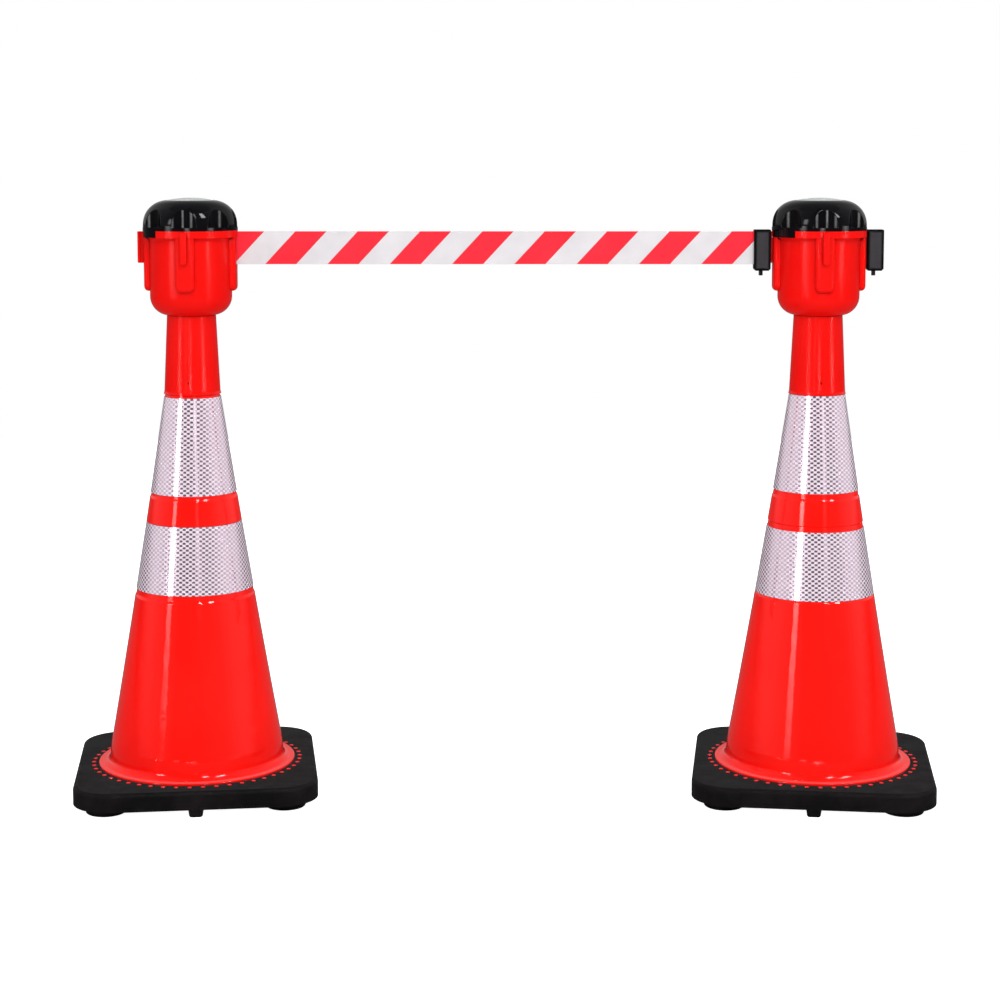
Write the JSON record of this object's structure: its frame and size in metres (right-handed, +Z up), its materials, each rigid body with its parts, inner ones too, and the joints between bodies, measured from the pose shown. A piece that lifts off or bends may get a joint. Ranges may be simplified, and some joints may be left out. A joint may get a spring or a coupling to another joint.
{
  "type": "cone topper belt barrier",
  "caption": "Traffic cones with swivelling toppers on their tips; a striped belt reels out of one topper and clips to a rail on the next to close a gap.",
  "frame": {"origin": "on the floor, midway between the two cones' axes", "axes": "+X along the belt from the unit that it leaves to the unit that it is clipped to, +Z up, -Y towards the pictured side"},
  "size_m": [1.2942, 0.3766, 0.873],
  "materials": {
    "base_rubber": "matte, scuffed",
    "cone_plastic": "satin moulded PVC",
    "collar_sheeting": "reflective sheeting with a diamond cell pattern",
    "topper_plastic": "satin moulding",
    "cap_plastic": "glossy moulding",
    "disc_plastic": "bare, satin",
    "clip_plastic": "fine satin grain",
    "button_plastic": "satin",
    "belt_webbing": "woven webbing, red and white diagonal stripes",
    "reel_plastic": "plain moulding",
    "bush_plastic": "plain acetal",
    "steel": "zinc-plated",
    "spring_steel": "oiled spring steel"
  },
  "bodies": {
    "left_cone": {"left_base": "base_rubber", "left_cone_shell": "cone_plastic", "left_upper_collar": "collar_sheeting", "left_lower_collar": "collar_sheeting"},
    "left_topper": {"left_sleeve": "topper_plastic", "left_sleeve_screws": "steel", "left_axle_screw": "steel", "left_housing": "topper_plastic", "left_axle": "steel", "left_snap_ring": "spring_steel", "left_belt_guide": "reel_plastic"},
    "left_reel": {"left_spool": "reel_plastic", "left_spring_cover": "reel_plastic", "left_lower_bush": "bush_plastic", "left_upper_bush": "bush_plastic", "left_power_spring": "spring_steel", "left_belt_roll": "belt_webbing"},
    "left_cap": {"left_cap": "cap_plastic", "left_cap_disc": "disc_plastic"},
    "left_clip": {"left_belt": "belt_webbing", "left_clip_front": "clip_plastic", "left_clip_back": "clip_plastic", "left_clip_screws": "steel", "left_belt_pin": "steel", "left_button_spring": "spring_steel"},
    "left_button": {"left_release_button": "button_plastic"},
    "right_cone": {"right_base": "base_rubber", "right_cone_shell": "cone_plastic", "right_upper_collar": "collar_sheeting", "right_lower_collar": "collar_sheeting"},
    "right_topper": {"right_sleeve": "topper_plastic", "right_sleeve_screws": "steel", "right_axle_screw": "steel", "right_housing": "topper_plastic", "right_axle": "steel", "right_snap_ring": "spring_steel", "right_belt_guide": "reel_plastic"},
    "right_reel": {"right_spool": "reel_plastic", "right_spring_cover": "reel_plastic", "right_lower_bush": "bush_plastic", "right_upper_bush": "bush_plastic", "right_power_spring": "spring_steel", "right_belt_roll": "belt_webbing"},
    "right_cap": {"right_cap": "cap_plastic", "right_cap_disc": "disc_plastic"},
    "right_clip": {"right_belt": "belt_webbing", "right_clip_front": "clip_plastic", "right_clip_back": "clip_plastic", "right_clip_screws": "steel", "right_belt_pin": "steel", "right_button_spring": "spring_steel"},
    "right_button": {"right_release_button": "button_plastic"}
  },
  "joints": [
    {"name": "left_topper_swivel", "type": "hinge", "parent": "left_cone", "child": "left_topper", "pos_m": [-0.4588, 0, 0.7], "axis": [0, 0, 1], "continuous": true},
    {"name": "belt_pull", "type": "slide", "parent": "left_topper", "child": "right_topper", "axis": [1, 0, 0], "range_m": [0, 1.9], "deforming": ["left_belt", "left_power_spring"]},
    {"name": "right_topper_swivel", "type": "hinge", "parent": "right_topper", "child": "right_cone", "pos_m": [0.4588, 0, 0.7], "axis": [0, 0, 1], "continuous": true},
    {"name": "left_clip_lift", "type": "slide", "parent": "right_topper", "child": "left_clip", "axis": [0, 0, 1], "range_m": [0, 0.06], "deforming": ["left_belt"]},
    {"name": "left_button_press", "type": "slide", "parent": "left_clip", "child": "left_button", "axis": [0, 0, 1], "range_m": [0, 0.004], "stiffness_N_per_m": 300, "deforming": ["left_button_spring"]},
    {"name": "left_reel_turn", "type": "hinge", "parent": "left_topper", "child": "left_reel", "pos_m": [-0.4588, 0, 0.7], "axis": [0, 0, 1], "range_deg": [-3594, 0], "deforming": ["left_power_spring"]},
    {"name": "left_cap_twist", "type": "hinge", "parent": "left_topper", "child": "left_cap", "pos_m": [-0.4588, 0, 0.7], "axis": [0, 0, 1], "range_deg": [-18, 0]},
    {"name": "right_belt_pull", "type": "slide", "parent": "right_topper", "child": "right_clip", "axis": [1, 0, 0], "range_m": [0, 2.6], "deforming": ["right_belt", "right_power_spring"]},
    {"name": "right_button_press", "type": "slide", "parent": "right_clip", "child": "right_button", "axis": [0, 0, 1], "range_m": [0, 0.004], "stiffness_N_per_m": 300, "deforming": ["right_button_spring"]},
    {"name": "right_reel_turn", "type": "hinge", "parent": "right_topper", "child": "right_reel", "pos_m": [0.4588, 0, 0.7], "axis": [0, 0, 1], "range_deg": [-4468, 0], "deforming": ["right_power_spring"]},
    {"name": "right_cap_twist", "type": "hinge", "parent": "right_topper", "child": "right_cap", "pos_m": [0.4588, 0, 0.7], "axis": [0, 0, 1], "range_deg": [-18, 0]}
  ],
  "couplings": [
    {"joint": "left_reel_turn", "follows": "belt_pull", "rad_per_m": -32.971},
    {"joint": "right_reel_turn", "follows": "right_belt_pull", "rad_per_m": -29.958}
  ]
}
